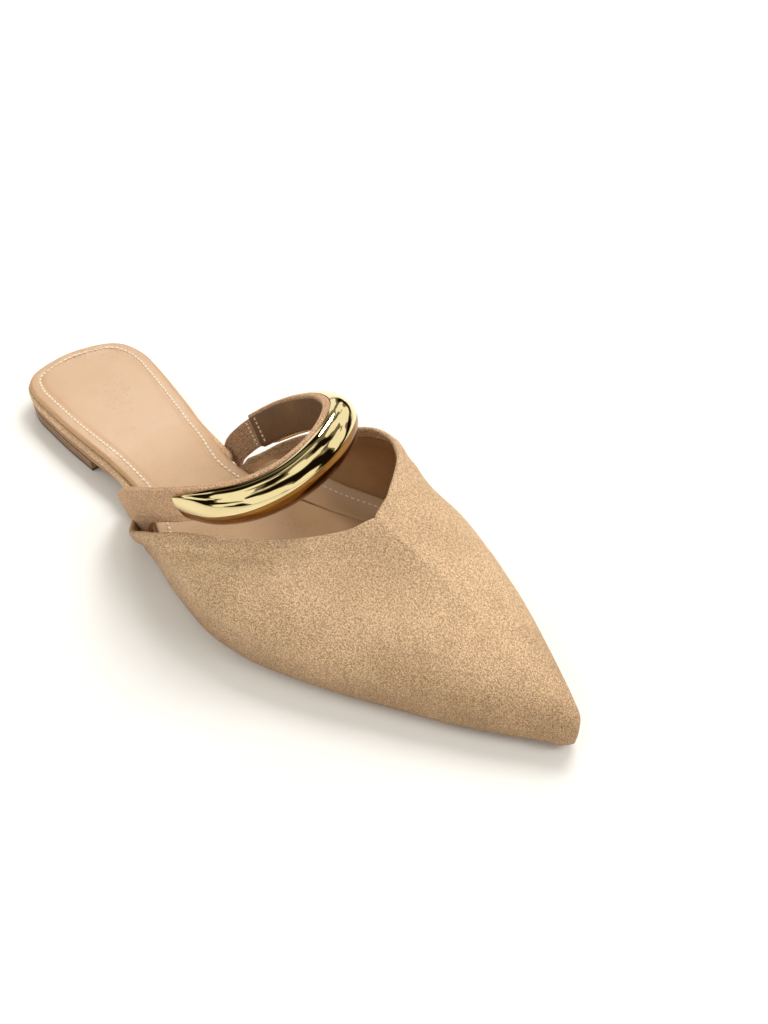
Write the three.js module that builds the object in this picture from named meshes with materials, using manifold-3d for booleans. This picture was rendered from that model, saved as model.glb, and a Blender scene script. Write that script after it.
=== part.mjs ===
/*
 * A pointed flat mule for the right foot, in suede, with a V throat and a strap that carries a domed metal bar.
 *
 * Millimetres. +X runs from heel to toe, +Y to the inner (medial) side of the foot, +Z up from the floor.
 * Every table holds shares of the named sizes, one row for each section.
 */
import * as THREE from 'three';
import { mergeVertices } from 'three/addons/utils/BufferGeometryUtils.js';
import Module from 'manifold-3d';

// Driving sizes of the shoe
const length = 265;
const ballWidth = 79;
const heelLift = 5.3;
const toeSpring = 1.3;
const instepHeight = 56;
const throatHeight = 42.4;

// Thicknesses
const outsoleThickness = 2.2;
const boardThickness = 3.8;
const sockThickness = 1.6;
const vampWall = 1.9;
const strapThickness = 2.6;
const elasticThickness = 1.5;

// Margins and clearances
const clearance = 0.3;
const heelMargin = 0.3;
const foreMargin = 1.8;
const sockMargin = 1.2;
const featherTuck = 0.5;
const featherTuckHeight = 3;
const edgeRound = 0.8;
const heelRound = 0.4;
const insetLead = 3.2;
const insetRun = 4;

// Heel block
const heelBlockLength = 60.5;
const breastSlant = THREE.MathUtils.degToRad(8);

// Strap and bar
const strapWidth = 13;
const elasticWidth = 11;
const barWidth = 12;
const barHeight = 6;

// How finely each form is divided
const outlineSteps = 40;
const vampRearSteps = 16;
const vampToeSteps = 20;
const vampRows = 12;
const strapSteps = 44;
const elasticSteps = 8;
const barSteps = 40;

// Plan outline from heel to toe: both sides as shares of the ball width
const outline = [
  { along: 0.0, lateral: 0.038, medial: -0.038 },
  { along: 0.015, lateral: 0.247, medial: 0.17 },
  { along: 0.045, lateral: 0.334, medial: 0.257 },
  { along: 0.09, lateral: 0.359, medial: 0.281 },
  { along: 0.15, lateral: 0.359, medial: 0.258 },
  { along: 0.226, lateral: 0.349, medial: 0.216 },
  { along: 0.302, lateral: 0.335, medial: 0.175 },
  { along: 0.377, lateral: 0.377, medial: 0.166 },
  { along: 0.453, lateral: 0.462, medial: 0.2 },
  { along: 0.528, lateral: 0.508, medial: 0.292 },
  { along: 0.596, lateral: 0.519, medial: 0.408 },
  { along: 0.66, lateral: 0.486, medial: 0.508 },
  { along: 0.717, lateral: 0.414, medial: 0.552 },
  { along: 0.774, lateral: 0.322, medial: 0.522 },
  { along: 0.83, lateral: 0.216, medial: 0.459 },
  { along: 0.887, lateral: 0.108, medial: 0.385 },
  { along: 0.94, lateral: -0.008, medial: 0.31 },
  { along: 0.977, lateral: -0.098, medial: 0.251 },
  { along: 0.994, lateral: -0.135, medial: 0.219 },
  { along: 1.0, lateral: -0.177, medial: 0.177 },
];

// Underside of the sole: heel as a share of the heel lift, toe as a share of the toe spring
const groundLine = [
  { at: 0.0, heel: 1, toe: 0 },
  { at: 0.24, heel: 1, toe: 0 },
  { at: 0.415, heel: 0.52, toe: 0 },
  { at: 0.6, heel: 0, toe: 0 },
  { at: 0.8, heel: 0, toe: 0 },
  { at: 1.0, heel: 0, toe: 1 },
];

// Spine of the vamp, carried on in the air behind the throat: height as a share of the throat height,
// sideways place as a share of the ball width
const crest = [
  { at: 0.38, height: 1.36, across: -0.02 },
  { at: 0.5, height: 1.26, across: 0.0 },
  { at: 0.62, height: 1.12, across: 0.04 },
  { at: 0.713, height: 1.0, across: 0.084 },
  { at: 0.774, height: 0.87, across: 0.118 },
  { at: 0.83, height: 0.725, across: 0.14 },
  { at: 0.887, height: 0.585, across: 0.155 },
  { at: 0.94, height: 0.475, across: 0.166 },
  { at: 0.977, height: 0.39, across: 0.173 },
  { at: 0.994, height: 0.325, across: 0.176 },
  { at: 1.0, height: 0.26, across: 0.177 },
];

// Half sections of the vamp from the sole edge up to the spine, each side at the instep and at the toe
const instepSection = [
  { lateralIn: 0.0, lateralUp: 0.0, medialIn: 0.0, medialUp: 0.0 },
  { lateralIn: -0.02, lateralUp: 0.18, medialIn: 0.0, medialUp: 0.17 },
  { lateralIn: -0.015, lateralUp: 0.35, medialIn: 0.05, medialUp: 0.35 },
  { lateralIn: 0.085, lateralUp: 0.47, medialIn: 0.125, medialUp: 0.545 },
  { lateralIn: 0.235, lateralUp: 0.585, medialIn: 0.245, medialUp: 0.745 },
  { lateralIn: 0.45, lateralUp: 0.67, medialIn: 0.45, medialUp: 0.905 },
  { lateralIn: 0.7, lateralUp: 0.79, medialIn: 0.72, medialUp: 0.985 },
  { lateralIn: 1.0, lateralUp: 1.0, medialIn: 1.0, medialUp: 1.0 },
];
const toeSection = [
  { up: 0.0, lateralIn: 0.0, medialIn: 0.0 },
  { up: 0.2, lateralIn: -0.03, medialIn: -0.038 },
  { up: 0.4, lateralIn: 0.0, medialIn: -0.025 },
  { up: 0.6, lateralIn: 0.1, medialIn: 0.03 },
  { up: 0.76, lateralIn: 0.27, medialIn: 0.125 },
  { up: 0.88, lateralIn: 0.48, medialIn: 0.27 },
  { up: 0.96, lateralIn: 0.72, medialIn: 0.48 },
  { up: 0.99, lateralIn: 0.87, medialIn: 0.72 },
  { up: 1.0, lateralIn: 1.0, medialIn: 1.0 },
];

// Where the instep's section gives way to the toe's, and from which share of a section its lean fades
const leanFadeStart = 0.55;
const toeFormStart = 0.68;
const toeFormEnd = 0.93;

// Topline of the V throat: how far up its half section each wall ends, how far the wall leans out over the
// sole there as a share of the ball width, and how much taller than the spine's the medial section is drawn
const throatApex = 0.713;
const vampRear = 0.394;
const topline = [
  { at: 0.394, lateral: 0.06, medial: 0.072, lateralLean: 0.058, medialLean: 0.035, medialLift: 1.0 },
  { at: 0.408, lateral: 0.087, medial: 0.121, lateralLean: 0.066, medialLean: 0.09, medialLift: 1.004 },
  { at: 0.43, lateral: 0.146, medial: 0.215, lateralLean: 0.066, medialLean: 0.135, medialLift: 1.01 },
  { at: 0.465, lateral: 0.251, medial: 0.327, lateralLean: 0.035, medialLean: 0.18, medialLift: 1.02 },
  { at: 0.507, lateral: 0.425, medial: 0.422, lateralLean: 0.01, medialLean: 0.192, medialLift: 1.034 },
  { at: 0.555, lateral: 0.573, medial: 0.536, lateralLean: 0, medialLean: 0.203, medialLift: 1.056 },
  { at: 0.604, lateral: 0.703, medial: 0.609, lateralLean: 0, medialLean: 0.169, medialLift: 1.078 },
  { at: 0.642, lateral: 0.795, medial: 0.667, lateralLean: 0, medialLean: 0.095, medialLift: 1.076 },
  { at: 0.672, lateral: 0.876, medial: 0.772, lateralLean: 0, medialLean: 0.047, medialLift: 1.044 },
  { at: 0.694, lateral: 0.935, medial: 0.881, lateralLean: 0, medialLean: 0.026, medialLift: 1.017 },
  { at: 0.713, lateral: 1.0, medial: 1.0, lateralLean: 0, medialLean: 0.018, medialLift: 1.0 },
  { at: 0.78, lateral: 1.0, medial: 1.0, lateralLean: 0.0, medialLean: 0.0, medialLift: 1.0 },
];

// Route of the strap's outer face, lateral base to medial joint, and the way its rear edge points
const strapRoute = [
  { along: 0.349, across: -0.391, rise: 0.1, back: -0.5, out: 0.0, up: 0.3 },
  { along: 0.364, across: -0.422, rise: 0.2, back: -0.62, out: -0.05, up: 0.65 },
  { along: 0.403, across: -0.45, rise: 0.33, back: -0.62, out: -0.1, up: 0.72 },
  { along: 0.445, across: -0.46, rise: 0.47, back: -0.55, out: -0.25, up: 0.75 },
  { along: 0.49, across: -0.445, rise: 0.6, back: -0.42, out: -0.3, up: 0.8 },
  { along: 0.532, across: -0.405, rise: 0.7, back: -0.3, out: -0.3, up: 0.86 },
  { along: 0.572, across: -0.33, rise: 0.775, back: -0.25, out: -0.2, up: 0.92 },
  { along: 0.603, across: -0.22, rise: 0.835, back: -0.3, out: -0.15, up: 0.92 },
  { along: 0.62, across: -0.075, rise: 0.905, back: -0.38, out: -0.2, up: 0.9 },
  { along: 0.617, across: 0.09, rise: 0.97, back: -0.45, out: -0.2, up: 0.86 },
  { along: 0.59, across: 0.23, rise: 0.98, back: -0.42, out: -0.15, up: 0.88 },
  { along: 0.545, across: 0.3, rise: 0.89, back: -0.45, out: -0.05, up: 0.86 },
  { along: 0.497, across: 0.315, rise: 0.755, back: -0.52, out: 0.0, up: 0.83 },
  { along: 0.447, across: 0.3, rise: 0.58, back: -0.6, out: 0.05, up: 0.76 },
  { along: 0.402, across: 0.262, rise: 0.39, back: -0.66, out: 0.05, up: 0.68 },
];
const elasticRoute = [
  { along: 0.402, across: 0.262, rise: 0.39, back: -0.66, out: 0.05, up: 0.68 },
  { along: 0.381, across: 0.236, rise: 0.28, back: -0.75, out: 0.03, up: 0.5 },
  { along: 0.365, across: 0.206, rise: 0.17, back: -0.85, out: 0.0, up: 0.35 },
  { along: 0.359, across: 0.198, rise: 0.085, back: -0.95, out: 0.0, up: 0.2 },
];

// Share of its own route at which the elastic leaves the strap's end
const elasticStart = 0.06;

// The bar along the strap, and how its section grows at each end
const barStart = 0.32;
const barEnd = 0.985;
const barTaper = [
  { at: 0.0, wide: 0.78, high: 0.22 },
  { at: 0.05, wide: 0.92, high: 0.5 },
  { at: 0.13, wide: 1.0, high: 0.92 },
  { at: 0.2, wide: 1.0, high: 1.0 },
  { at: 0.9, wide: 1.0, high: 1.0 },
  { at: 0.97, wide: 0.95, high: 0.72 },
  { at: 1.0, wide: 0.85, high: 0.4 },
];
const barSection = [
  { across: -0.5, out: 0.0 },
  { across: -0.5, out: 0.2 },
  { across: -0.47, out: 0.48 },
  { across: -0.36, out: 0.76 },
  { across: -0.18, out: 0.95 },
  { across: 0.04, out: 1.0 },
  { across: 0.26, out: 0.9 },
  { across: 0.42, out: 0.64 },
  { across: 0.49, out: 0.3 },
  { across: 0.5, out: 0.0 },
];
const bandSection = [
  { across: -0.5, out: -0.7 },
  { across: -0.5, out: -0.3 },
  { across: -0.45, out: 0.0 },
  { across: 0.45, out: 0.0 },
  { across: 0.5, out: -0.3 },
  { across: 0.5, out: -0.7 },
  { across: 0.45, out: -1.0 },
  { across: -0.45, out: -1.0 },
];

// A smooth column of a table, as a function of the share along it; level keeps the ends from overshooting
function column(rows, name, level = false) {
  const at = rows.map((row, i) => row.at ?? i / (rows.length - 1));
  const value = rows.map((row) => row[name]);
  const rise = value.slice(1).map((next, i) => (next - value[i]) / (at[i + 1] - at[i]));
  const slope = value.map((_, i) => {
    if (i === 0) return level ? 0 : rise[0];
    if (i === rise.length) return level ? 0 : rise[i - 1];
    const product = rise[i - 1] * rise[i];
    return product <= 0 ? 0 : (2 * product) / (rise[i - 1] + rise[i]);
  });
  return (share) => {
    const s = THREE.MathUtils.clamp(share, at[0], at[at.length - 1]);
    const i = Math.max(at.findIndex((place) => place >= s) - 1, 0);
    const span = at[i + 1] - at[i];
    const t = (s - at[i]) / span;
    const early = value[i] + (slope[i] * span - rise[i] * span) * t * (1 - t) * (1 - t);
    const late = (rise[i] * span - slope[i + 1] * span) * t * t * (1 - t);
    return early + rise[i] * span * t + late;
  };
}

// The share at which a rising column first reaches a value
function shareReaching(rising, value) {
  let low = 0;
  let high = 1;
  for (let i = 0; i < 40; i += 1) {
    const middle = (low + high) / 2;
    if (rising(middle) < value) low = middle;
    else high = middle;
  }
  return high;
}

// The outline's columns, by the share of the way from the heel's back to the toe's tip
const outlineAlong = column(outline, 'along', true);
const outlineLateral = column(outline, 'lateral');
const outlineMedial = column(outline, 'medial');
const heelShare = column(groundLine, 'heel');
const toeShare = column(groundLine, 'toe');

const ground = (x) => heelShare(x / length) * heelLift + toeShare(x / length) * toeSpring;
const outsoleTop = (x) => ground(x) + outsoleThickness;
const boardBottom = (x) => outsoleTop(x) + clearance;
const boardTop = (x) => boardBottom(x) + boardThickness;
const sockBottom = (x) => boardTop(x) + clearance;
const sockTop = (x) => sockBottom(x) + sockThickness;

// A point of the plan outline, side -1 lateral or +1 medial
function edgePoint(share, side) {
  const across = side < 0 ? -outlineLateral(share) : outlineMedial(share);
  return new THREE.Vector2(outlineAlong(share) * length, across * ballWidth);
}

// The outline moved inward, square to itself
function insetPoint(share, side, inset) {
  const step = 1e-3;
  const point = edgePoint(share, side);
  const before = edgePoint(Math.max(share - step, 0), side);
  const after = edgePoint(Math.min(share + step, 1), side);
  const run = after.sub(before).normalize();
  const outward = new THREE.Vector2(-run.y * side, run.x * side);
  if (share === 0) outward.set(-1, 0);
  if (share === 1) outward.set(1, 0);
  const distance = typeof inset === 'function' ? inset(point.x) : inset;
  return point.addScaledVector(outward, -distance);
}

// A closed geometry from corners and triangles, its repeated corners merged and empty triangles dropped
function solid(corners, triangles) {
  const geometry = new THREE.BufferGeometry();
  geometry.setAttribute('position', new THREE.Float32BufferAttribute(corners.flatMap((p) => [p.x, p.y, p.z]), 3));
  geometry.setIndex(triangles.flat());
  const merged = mergeVertices(geometry, 1e-3);
  const index = merged.getIndex().array;
  const kept = [];
  for (let i = 0; i < index.length; i += 3) {
    const [a, b, c] = [index[i], index[i + 1], index[i + 2]];
    if (a !== b && b !== c && c !== a) kept.push(a, b, c);
  }
  merged.setIndex(kept);
  return merged;
}

// Two triangles for the four corners a, b, c, d in order
const quad = (a, b, c, d) => [[a, b, c], [a, c, d]];

// A layer of the sole, bottom to top: rings of inset and height, closed by strips across
function layer(rings) {
  const corners = [];
  const triangles = [];
  const around = 2 * outlineSteps;
  for (const ring of rings) {
    for (let i = 0; i < around; i += 1) {
      const side = i <= outlineSteps ? -1 : 1;
      const share = (side < 0 ? i : around - i) / outlineSteps;
      const point = insetPoint(share, side, ring.inset);
      corners.push(new THREE.Vector3(point.x, point.y, ring.height(point.x)));
    }
  }
  for (let r = 0; r + 1 < rings.length; r += 1) {
    for (let i = 0; i < around; i += 1) {
      const next = (i + 1) % around;
      triangles.push(...quad(r * around + i, r * around + next, (r + 1) * around + next, (r + 1) * around + i));
    }
  }
  const top = (rings.length - 1) * around;
  for (let i = 0; i < outlineSteps; i += 1) {
    const mirror = (around - i) % around;
    const mirrorNext = around - i - 1;
    triangles.push(...quad(mirror, mirrorNext, i + 1, i));
    triangles.push(...quad(top + i, top + i + 1, top + mirrorNext, top + mirror));
  }
  return solid(corners, triangles);
}

// A thin surface made into a wall: a copy moved inward, and a rim where the surface ends
function thicken(surface, wall) {
  surface.computeVertexNormals();
  const position = surface.getAttribute('position');
  const normal = surface.getAttribute('normal');
  const index = surface.getIndex().array;
  const count = position.count;
  const corners = [];
  for (const depth of [0, wall]) {
    for (let i = 0; i < count; i += 1) {
      const point = new THREE.Vector3().fromBufferAttribute(position, i);
      const outward = new THREE.Vector3().fromBufferAttribute(normal, i);
      corners.push(point.addScaledVector(outward, -depth));
    }
  }
  const triangles = [];
  const edges = new Map();
  for (let i = 0; i < index.length; i += 3) {
    const face = [index[i], index[i + 1], index[i + 2]];
    triangles.push(face);
    triangles.push([face[0] + count, face[2] + count, face[1] + count]);
    face.forEach((a, k) => edges.set(`${a},${face[(k + 1) % 3]}`, [a, face[(k + 1) % 3]]));
  }
  for (const [a, b] of edges.values()) {
    if (!edges.has(`${b},${a}`)) triangles.push(...quad(b, a, a + count, b + count));
  }
  return solid(corners, triangles);
}

// The vamp's outer face: half sections from the sole edge to the crest or the topline
function vampSurface() {
  const crestHeight = column(crest, 'height');
  const crestAcross = column(crest, 'across');
  const top = { '-1': column(topline, 'lateral'), 1: column(topline, 'medial') };
  const lean = { '-1': column(topline, 'lateralLean'), 1: column(topline, 'medialLean') };
  const lift = { '-1': () => 1, 1: column(topline, 'medialLift') };
  const half = (rows, inward, up) => ({ inward: column(rows, inward), up: column(rows, up) });
  const instep = {
    '-1': half(instepSection, 'lateralIn', 'lateralUp'),
    1: half(instepSection, 'medialIn', 'medialUp'),
  };
  const toe = { '-1': half(toeSection, 'lateralIn', 'up'), 1: half(toeSection, 'medialIn', 'up') };
  const rear = shareReaching(outlineAlong, vampRear);
  const apex = shareReaching(outlineAlong, throatApex);
  const stations = [];
  for (let i = 0; i < vampRearSteps; i += 1) stations.push(rear + ((apex - rear) * i) / vampRearSteps);
  for (let i = 0; i <= vampToeSteps; i += 1) stations.push(apex + ((1 - apex) * i) / vampToeSteps);

  const corners = [];
  const triangles = [];
  for (const side of [-1, 1]) {
    const start = corners.length;
    stations.forEach((share) => {
      const edge = edgePoint(share, side);
      const along = edge.x / length;
      const base = boardBottom(edge.x);
      const height = crestHeight(along) * lift[side](along) * throatHeight - base;
      const middle = crestAcross(along) * ballWidth;
      const toward = THREE.MathUtils.smoothstep(along, toeFormStart, toeFormEnd);
      const rise = (t) => THREE.MathUtils.lerp(instep[side].up(t), toe[side].up(t), toward) * height;
      const most = share < apex ? top[side](along) : 1;
      const outward = lean[side](along) * ballWidth;
      for (let k = 0; k <= vampRows; k += 1) {
        const t = (most * k) / vampRows;
        const inward = THREE.MathUtils.lerp(instep[side].inward(t), toe[side].inward(t), toward);
        const up = rise(t);
        const fade = 1 - THREE.MathUtils.smoothstep(t, leanFadeStart, 1);
        const leaning = side * outward * Math.sin((k / vampRows) * (Math.PI / 2)) * fade;
        const tuck = featherTuck * Math.max(0, 1 - up / featherTuckHeight) ** 2;
        const y = THREE.MathUtils.lerp(edge.y, middle, inward) + leaning;
        const room = Math.min(tuck, Math.abs(y - middle));
        corners.push(new THREE.Vector3(edge.x, y - side * room, base + up));
      }
    });
    for (let j = 0; j + 1 < stations.length; j += 1) {
      for (let k = 0; k < vampRows; k += 1) {
        const a = start + j * (vampRows + 1) + k;
        const b = a + vampRows + 1;
        triangles.push(...(side < 0 ? quad(a, b, b + 1, a + 1) : quad(a, a + 1, b + 1, b)));
      }
    }
  }
  return solid(corners, triangles);
}

// A route through a table's rows, with its outer face's direction at every share of the way
function route(rows) {
  const place = (row) => new THREE.Vector3(row.along * length, row.across * ballWidth, row.rise * instepHeight);
  const line = new THREE.CatmullRomCurve3(rows.map(place), false, 'centripetal');
  const rearward = new THREE.CatmullRomCurve3(rows.map((row) => new THREE.Vector3(row.back, row.out, row.up)));
  return (share) => {
    const u = THREE.MathUtils.clamp(share, 0, 1);
    const point = line.getPointAt(u);
    const run = line.getTangentAt(u);
    const across = rearward.getPoint(line.getUtoTmapping(u));
    across.addScaledVector(run, -across.dot(run)).normalize();
    const outward = new THREE.Vector3().crossVectors(run, across);
    return { point, run, across, outward };
  };
}

// A section carried along a route; size gives its width and height at each share
function sweep(frameAt, section, size, from, to, steps) {
  const corners = [];
  const triangles = [];
  const sides = section.length;
  for (let j = 0; j <= steps; j += 1) {
    const share = j / steps;
    const { point, across, outward } = frameAt(THREE.MathUtils.lerp(from, to, share));
    const { width, height, lift } = size(share);
    for (const corner of section) {
      const place = point.clone();
      place.addScaledVector(across, corner.across * width);
      place.addScaledVector(outward, corner.out * height + lift);
      corners.push(place);
    }
  }
  for (let j = 0; j < steps; j += 1) {
    for (let k = 0; k < sides; k += 1) {
      const next = (k + 1) % sides;
      triangles.push(...quad(j * sides + k, (j + 1) * sides + k, (j + 1) * sides + next, j * sides + next));
    }
  }
  for (let k = 1; k + 1 < sides; k += 1) {
    triangles.push([0, k, k + 1]);
    triangles.push([steps * sides, steps * sides + k + 1, steps * sides + k]);
  }
  return solid(corners, triangles);
}

// Joining and cutting of closed geometries
const wasm = await Module();
wasm.setup();

function toManifold(geometry) {
  const plain = geometry.clone();
  plain.deleteAttribute('normal');
  plain.deleteAttribute('uv');
  const merged = mergeVertices(plain, 1e-4);
  const vertProperties = new Float32Array(merged.getAttribute('position').array);
  const triVerts = new Uint32Array(merged.getIndex().array);
  return new wasm.Manifold(new wasm.Mesh({ numProp: 3, vertProperties, triVerts }));
}

function toGeometry(manifold) {
  const mesh = manifold.getMesh();
  const geometry = new THREE.BufferGeometry();
  geometry.setAttribute('position', new THREE.Float32BufferAttribute(mesh.vertProperties, 3));
  geometry.setIndex(Array.from(mesh.triVerts));
  return geometry;
}

// Inside the vamp the board stands back by the wall and its tuck
const vampInset = featherTuck + vampWall + clearance * 2;
const vampStart = vampRear * length - insetLead;
const besideVamp = (x) => vampInset * THREE.MathUtils.smoothstep(x, vampStart - insetRun, vampStart);

// The sole stands flush at the heel and steps back under the vamp, so that only a thin line of it shows
function soleInset(x) {
  const under = THREE.MathUtils.smoothstep(x, heelBlockLength, vampStart);
  return THREE.MathUtils.lerp(heelMargin, foreMargin, under);
}

function makeOutsole() {
  return layer([
    { inset: (x) => soleInset(x) + edgeRound, height: ground },
    { inset: soleInset, height: (x) => ground(x) + edgeRound },
    { inset: soleInset, height: outsoleTop },
  ]);
}

// The heel block: the sole's outline as far as the breast, tapered a little towards the floor
function makeHeelBlock() {
  const top = heelLift - clearance;
  const full = layer([
    { inset: heelMargin + heelRound, height: () => 0 },
    { inset: heelMargin, height: () => heelRound },
    { inset: heelMargin, height: () => top },
  ]);
  const reach = length;
  const keeper = new THREE.BoxGeometry(reach, reach, reach);
  keeper.translate(-reach / 2, 0, 0);
  keeper.rotateY(breastSlant);
  keeper.translate(heelBlockLength, 0, 0);
  return toGeometry(toManifold(full).intersect(toManifold(keeper)));
}

function makeFootbed() {
  return layer([
    { inset: (x) => besideVamp(x) + edgeRound, height: boardBottom },
    { inset: besideVamp, height: (x) => boardBottom(x) + edgeRound },
    { inset: besideVamp, height: (x) => boardTop(x) - edgeRound },
    { inset: (x) => besideVamp(x) + edgeRound, height: boardTop },
  ]);
}

function makeInsole() {
  return layer([
    { inset: (x) => besideVamp(x) + sockMargin, height: sockBottom },
    { inset: (x) => besideVamp(x) + sockMargin, height: (x) => sockTop(x) - edgeRound },
    { inset: (x) => besideVamp(x) + sockMargin + edgeRound, height: sockTop },
  ]);
}

const strapFrame = route(strapRoute);
const elasticFrame = route(elasticRoute);

function makeStrap() {
  const size = () => ({ width: strapWidth, height: strapThickness, lift: 0 });
  return sweep(strapFrame, bandSection, size, 0, 1, strapSteps);
}

function makeElastic() {
  const lift = -(strapThickness - elasticThickness) / 2;
  const size = () => ({ width: elasticWidth, height: elasticThickness, lift });
  return sweep(elasticFrame, bandSection, size, elasticStart, 1, elasticSteps);
}

function makeBar() {
  const wide = column(barTaper, 'wide');
  const high = column(barTaper, 'high');
  const size = (share) => ({ width: barWidth * wide(share), height: barHeight * high(share), lift: clearance });
  return sweep(strapFrame, barSection, size, barStart, barEnd, barSteps);
}

function piece(name, geometry, colour, roughness, metalness = 0) {
  const material = new THREE.MeshStandardMaterial({ color: colour, roughness, metalness });
  const mesh = new THREE.Mesh(geometry, material);
  mesh.name = name;
  return mesh;
}

const shoe = new THREE.Group();
shoe.add(piece('outsole', makeOutsole(), '#b39a7c', 0.8));
shoe.add(piece('heel_block', makeHeelBlock(), '#6b4a31', 0.6));
shoe.add(piece('footbed', makeFootbed(), '#c09a73', 0.95));
shoe.add(piece('insole', makeInsole(), '#d3a67f', 0.5));
shoe.add(piece('upper', thicken(vampSurface(), vampWall), '#c79f74', 0.95));
shoe.add(piece('strap', makeStrap(), '#a98163', 0.95));
shoe.add(piece('strap_elastic', makeElastic(), '#8c6749', 0.9));
shoe.add(piece('metal_bar', makeBar(), '#e3cf8d', 0.08, 1));

// The origin is on the floor, under the middle of the shoe
const box = new THREE.Box3().setFromObject(shoe);
const middle = box.getCenter(new THREE.Vector3());
shoe.position.set(-middle.x, -middle.y, -box.min.z);

const group = new THREE.Group();
group.add(shoe);
export default group;
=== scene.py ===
# %% [markdown]
# # A pointed flat mule in suede, dressed over its solids
# The part is already made as solids: sole, heel, footbed, insole, upper, strap, elastic and bar.
# Here each of them gets the surface that the real shoe has. We could paint the solids as they are,
# but suede, a folded edge and a row of stitches need finer meshes, so we build those from the
# shoe's own sizes and let them stand in for the solids. Everything is in the solids' frame.

import math

import bpy
import numpy as np
from mathutils import Matrix, Vector


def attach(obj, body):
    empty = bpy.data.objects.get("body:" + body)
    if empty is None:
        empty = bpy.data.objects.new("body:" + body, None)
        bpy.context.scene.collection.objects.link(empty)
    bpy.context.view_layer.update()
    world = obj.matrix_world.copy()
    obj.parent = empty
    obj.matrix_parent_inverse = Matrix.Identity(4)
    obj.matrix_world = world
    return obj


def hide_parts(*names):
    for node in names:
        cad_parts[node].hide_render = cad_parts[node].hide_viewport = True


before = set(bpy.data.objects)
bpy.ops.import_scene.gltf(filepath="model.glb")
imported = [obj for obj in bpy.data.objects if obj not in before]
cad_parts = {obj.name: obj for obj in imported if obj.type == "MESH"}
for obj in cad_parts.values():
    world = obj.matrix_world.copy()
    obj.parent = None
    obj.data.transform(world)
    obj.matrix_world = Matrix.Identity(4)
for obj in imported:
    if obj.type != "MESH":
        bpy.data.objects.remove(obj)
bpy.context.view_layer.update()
print("solids:", sorted(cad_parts))

# %% [markdown]
# ## The camera
# The view was solved from the shoe's own outline: the lens, the height and the turn that lay the
# outline over the photograph. We could aim a camera by eye, but a solved one lets us compare a
# render with the photograph spot by spot.

# %% Camera
EYE = Vector((0.2227, -0.1362, 0.2457))
LOOK = Vector((-0.558, 0.483, -0.675)).normalized()
ROLL = math.radians(-0.58)
IMAGE_HEIGHT = 1024
FOCAL_PIXELS = 1000.48

camera_data = bpy.data.cameras.new("camera")
camera_data.sensor_width = 36.0
camera_data.lens = FOCAL_PIXELS * camera_data.sensor_width / IMAGE_HEIGHT
camera_data.clip_start = 0.01
camera_data.clip_end = 20.0
camera = bpy.data.objects.new("camera", camera_data)
bpy.context.scene.collection.objects.link(camera)
bpy.context.scene.camera = camera

right = LOOK.cross(Vector((0, 0, 1))).normalized()
up = right.cross(LOOK)
rolled_right = right * math.cos(ROLL) + up * math.sin(ROLL)
rolled_up = up * math.cos(ROLL) - right * math.sin(ROLL)
turn = Matrix((rolled_right, rolled_up, -LOOK)).transposed().to_4x4()
camera.matrix_world = Matrix.Translation(EYE) @ turn
print("lens", round(camera_data.lens, 2), "mm")

# %% [markdown]
# ## Writing shader maths
# A material in Blender is a graph of nodes. We could link every node by hand, line after line, but
# the sum behind a mottled suede is easier to read as a sum. So a small class wraps a socket, and
# plus, minus and times on it add the Math nodes for us.


# %% A socket that can be added and multiplied
class Value:
    def __init__(self, finish, socket):
        self.finish = finish
        self.socket = socket

    def maths(self, operation, first, second):
        return self.finish.node("Math", {"operation": operation}, {0: first, 1: second})

    def __add__(self, other):
        return self.maths("ADD", self, other)

    def __radd__(self, other):
        return self.maths("ADD", other, self)

    def __sub__(self, other):
        return self.maths("SUBTRACT", self, other)

    def __rsub__(self, other):
        return self.maths("SUBTRACT", other, self)

    def __mul__(self, other):
        return self.maths("MULTIPLY", self, other)


# %% A node tree with one way to add a node
class Finish:
    def __init__(self, name, tree=None):
        self.material = None
        if tree is None:
            self.material = bpy.data.materials.new(name)
            self.material.use_nodes = True
            tree = self.material.node_tree
        tree.nodes.clear()
        self.tree = tree

    def node(self, kind, settings=None, inputs=None, output=0):
        made = self.tree.nodes.new("ShaderNode" + kind)
        for name, value in (settings or {}).items():
            setattr(made, name, value)
        for name, value in (inputs or {}).items():
            if isinstance(value, Value):
                self.tree.links.new(value.socket, made.inputs[name])
            else:
                made.inputs[name].default_value = value
        return Value(self, made.outputs[output]) if made.outputs else None

    def place(self, *scale):
        """The spot on the shoe in millimetres, stretched by scale."""
        spot = self.node("TexCoord", output="Object")
        factors = [1000.0 * s for s in scale]
        return self.node("VectorMath", {"operation": "MULTIPLY"}, {0: spot, 1: factors})

    def noise(self, spot, scale, detail=2.0, roughness=0.5):
        values = {"Vector": spot, "Scale": scale, "Detail": detail, "Roughness": roughness}
        return self.node("TexNoise", {}, values)

    def step(self, value, low, high):
        """0 below low, 1 above high, and smooth between."""
        values = {"Value": value, "From Min": low, "From Max": high}
        return self.node("MapRange", {"interpolation_type": "SMOOTHSTEP"}, values)

    def blend(self, factor, first, second, kind="MIX"):
        values = {0: factor, 6: first, 7: second}
        return self.node("Mix", {"data_type": "RGBA", "blend_type": kind}, values, output=2)

    def bump(self, height, millimetres, strength=1.0):
        values = {"Height": height, "Distance": millimetres / 1000.0, "Strength": strength}
        return self.node("Bump", {}, values)

    def skin(self, **values):
        """The Principled shader, its sockets named with _ for a space, set as the surface."""
        named = {name.replace("_", " "): value for name, value in values.items()}
        shader = self.node("BsdfPrincipled", {}, named)
        self.node("OutputMaterial", {}, {"Surface": shader})
        return self.material


def colour(red, green, blue):
    """A colour as an eye would name it, 0 to 255, turned into the light that Blender counts in."""
    def light(share):
        return share / 12.92 if share <= 0.04045 else ((share + 0.055) / 1.055) ** 2.4

    return tuple(light(c / 255) for c in (red, green, blue)) + (1.0,)


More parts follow.
